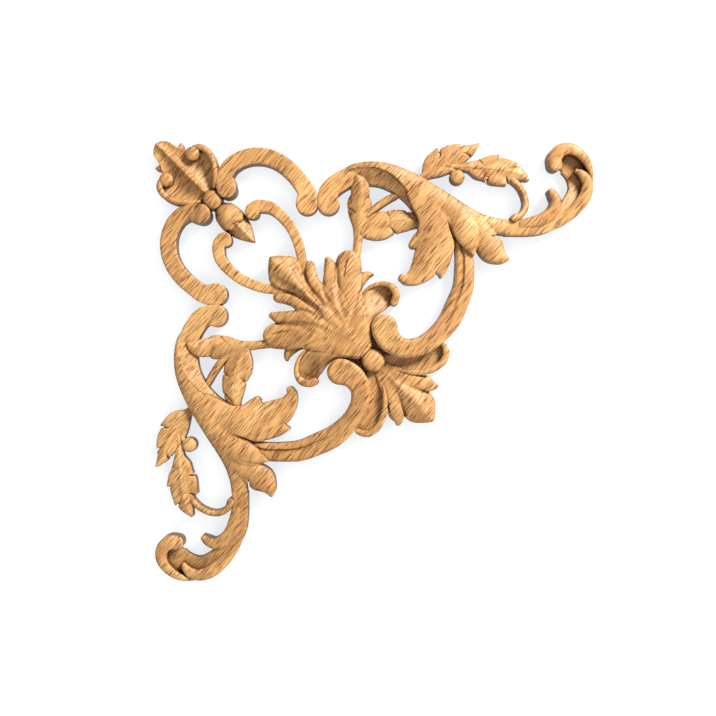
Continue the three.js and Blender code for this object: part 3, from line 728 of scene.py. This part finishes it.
def plain_material(name, colour, roughness):
    """An even, matt finish for the studio's surfaces."""
    material = bpy.data.materials.new(name)
    material.use_nodes = True
    shader = material.node_tree.nodes["Principled BSDF"]
    shader.inputs["Base Color"].default_value = (*colour, 1)
    shader.inputs["Roughness"].default_value = roughness
    shader.inputs["Specular IOR Level"].default_value = 0.1
    return material


WALL_GAP = 0.0015
STUDIO = 1.4
FLOOR_DROP = 0.45
GLOW = 0.97
SHADOW_REACH = 0.009


def build_studio():
    """A white wall close behind the onlay and a pale floor below it, which glow evenly, with a painted
    shadow where the onlay is close.
    """
    white = plain_material("studio_white", (0.13, 0.13, 0.13), 0.9)
    glow = white.node_tree.nodes["Principled BSDF"]
    glow.inputs["Emission Strength"].default_value = GLOW
    # Painted shadow: the glow is dimmed to a bluish grey where the onlay stands close over the wall
    nodes, links = white.node_tree.nodes, white.node_tree.links
    cover = nodes.new("ShaderNodeAmbientOcclusion")
    cover.samples = 8
    cover.inputs["Distance"].default_value = SHADOW_REACH
    painted_contact_shadow = nodes.new("ShaderNodeValToRGB")
    painted_contact_shadow.color_ramp.elements[0].position = 0.35
    painted_contact_shadow.color_ramp.elements[0].color = (0.76, 0.79, 0.82, 1)
    painted_contact_shadow.color_ramp.elements[1].position = 0.95
    painted_contact_shadow.color_ramp.elements[1].color = (0.98, 0.99, 1.0, 1)
    links.new(cover.outputs["AO"], painted_contact_shadow.inputs["Fac"])
    links.new(painted_contact_shadow.outputs["Color"], glow.inputs["Emission Color"])
    wall = carved("studio_wall", (np.array([
        (-STUDIO, WALL_GAP, -FLOOR_DROP), (STUDIO, WALL_GAP, -FLOOR_DROP),
        (STUDIO, WALL_GAP, STUDIO), (-STUDIO, WALL_GAP, STUDIO)]), [(0, 1, 2, 3)]))
    floor = carved("studio_floor", (np.array([
        (-STUDIO, -STUDIO, -FLOOR_DROP), (STUDIO, -STUDIO, -FLOOR_DROP),
        (STUDIO, STUDIO, -FLOOR_DROP), (-STUDIO, STUDIO, -FLOOR_DROP)]), [(0, 1, 2, 3)]))
    for surface in (wall, floor):
        surface.data.materials.append(white)
    # The wall is one-sided: it can be looked through from behind, so the onlay's back shows
    one_sided = white.copy()
    wall.data.materials[0] = one_sided
    nodes, links = one_sided.node_tree.nodes, one_sided.node_tree.links
    side = nodes.new("ShaderNodeNewGeometry")
    clear = nodes.new("ShaderNodeBsdfTransparent")
    either = nodes.new("ShaderNodeMixShader")
    links.new(side.outputs["Backfacing"], either.inputs[0])
    links.new(nodes["Principled BSDF"].outputs[0], either.inputs[1])
    links.new(clear.outputs[0], either.inputs[2])
    links.new(either.outputs[0], nodes["Material Output"].inputs[0])


def add_light(name, spot, size, power):
    """A soft square lamp that faces the onlay."""
    data = bpy.data.lights.new(name, "AREA")
    data.size = size
    data.energy = power
    lamp = bpy.data.objects.new(name, data)
    lamp.location = spot
    lamp.rotation_euler = (-Vector(spot)).to_track_quat("-Z", "Y").to_euler()
    bpy.context.scene.collection.objects.link(lamp)


def light_studio():
    """A soft lamp above and to the right, a weaker one behind, and a pale surround."""
    world = bpy.data.worlds.new("surround")
    world.use_nodes = True
    background = world.node_tree.nodes["Background"]
    background.inputs["Color"].default_value = (1.0, 1.0, 1.0, 1)
    background.inputs["Strength"].default_value = 0.32
    bpy.context.scene.world = world
    add_light("behind", spot=(0.1, 0.9, 0.3), size=0.6, power=9.0)
    add_light("key", spot=(0.55, -0.55, 0.6), size=0.3, power=19.0)


# The photograph's frame, in its pixels, and where the corner tip of the drawing lies in it
PHOTO_SIZE = 716
TIP_IN_PHOTO = (153, 140.5)
LENS_DISTANCE = 950
SENSOR_WIDTH = 36
MEAN_HEIGHT = 0.008


def add_camera():
    """Looks straight at the wall, with the photograph's framing."""
    centre_right = PHOTO_SIZE / 2 - TIP_IN_PHOTO[0]
    centre_below = PHOTO_SIZE / 2 - TIP_IN_PHOTO[1]
    spot = place(np.array(centre_right), np.array(centre_below), np.array(0.0))
    data = bpy.data.cameras.new("camera")
    data.sensor_width = SENSOR_WIDTH
    data.lens = SENSOR_WIDTH * LENS_DISTANCE / PHOTO_SIZE
    camera = bpy.data.objects.new("camera", data)
    camera.location = (spot[0], -LENS_DISTANCE * GRID - MEAN_HEIGHT, spot[2])
    camera.rotation_euler = (math.radians(90), 0, 0)
    bpy.context.scene.collection.objects.link(camera)
    bpy.context.scene.camera = camera


onlay = build_onlay()
onlay.data.materials.clear()
onlay.data.materials.append(oak_material())
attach(onlay, "root")
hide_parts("onlay")
build_studio()
light_studio()
add_camera()
bpy.context.scene.view_settings.view_transform = "Standard"
